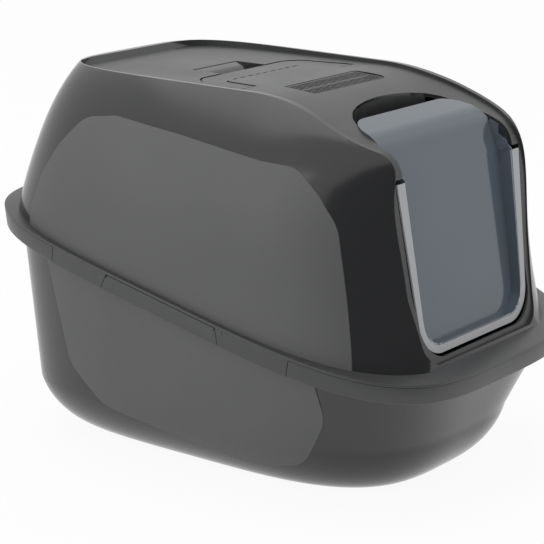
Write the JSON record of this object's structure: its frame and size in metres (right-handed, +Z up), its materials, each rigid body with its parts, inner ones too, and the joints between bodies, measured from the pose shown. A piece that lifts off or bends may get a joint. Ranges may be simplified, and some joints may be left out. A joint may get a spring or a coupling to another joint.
{
  "type": "hooded litter box",
  "caption": "Enclosed pet litter box: deep tray with sloping rim, clip-on hood, swing flap door, folding carry handle and roof filter vent.",
  "frame": {"origin": "centre of the footprint, on the floor under the box", "axes": "+Z up, the door faces -Y, +X across the width; the box is symmetric left to right"},
  "size_m": [0.49, 0.654, 0.473],
  "materials": {
    "shell": "anthracite moulded polypropylene, satin gloss with matt side panels",
    "dark_plastic": "dark grey moulded plastic",
    "door_plastic": "smoke grey translucent plastic",
    "carbon_foam": "open-cell foam loaded with carbon"
  },
  "bodies": {
    "tray": {"tray": "shell"},
    "hood": {"hood": "shell", "vent_grille": "dark_plastic"},
    "door": {"door": "door_plastic"},
    "handle": {"handle": "dark_plastic"},
    "filter_holder": {"filter_holder": "dark_plastic", "filter_pad": "carbon_foam"},
    "clip_left": {"clip_left": "shell"},
    "clip_right": {"clip_right": "shell"}
  },
  "joints": [
    {"name": "hood_lift", "type": "slide", "parent": "tray", "child": "hood", "axis": [0, -0.213, 0.977], "range_m": [0, 0.3]},
    {"name": "door_swing", "type": "hinge", "parent": "hood", "child": "door", "pos_m": [0, -0.24, 0.39], "axis": [1, 0, 0], "range_deg": [-70, 70]},
    {"name": "handle_fold", "type": "hinge", "parent": "hood", "child": "handle", "pos_m": [0, -0.01, 0.45911], "axis": [1, 0, 0], "range_deg": [0, 90]},
    {"name": "filter_holder_drop", "type": "hinge", "parent": "hood", "child": "filter_holder", "pos_m": [0, -0.046, 0.441], "axis": [1, 0, 0], "range_deg": [0, 85]},
    {"name": "clip_left_swing", "type": "hinge", "parent": "hood", "child": "clip_left", "pos_m": [-0.24112, 0.00146, 0.22832], "axis": [0, 0.977, 0.213], "range_deg": [0, 40]},
    {"name": "clip_right_swing", "type": "hinge", "parent": "hood", "child": "clip_right", "pos_m": [0.24112, 0.00146, 0.22832], "axis": [0, -0.977, -0.213], "range_deg": [0, 40]}
  ]
}
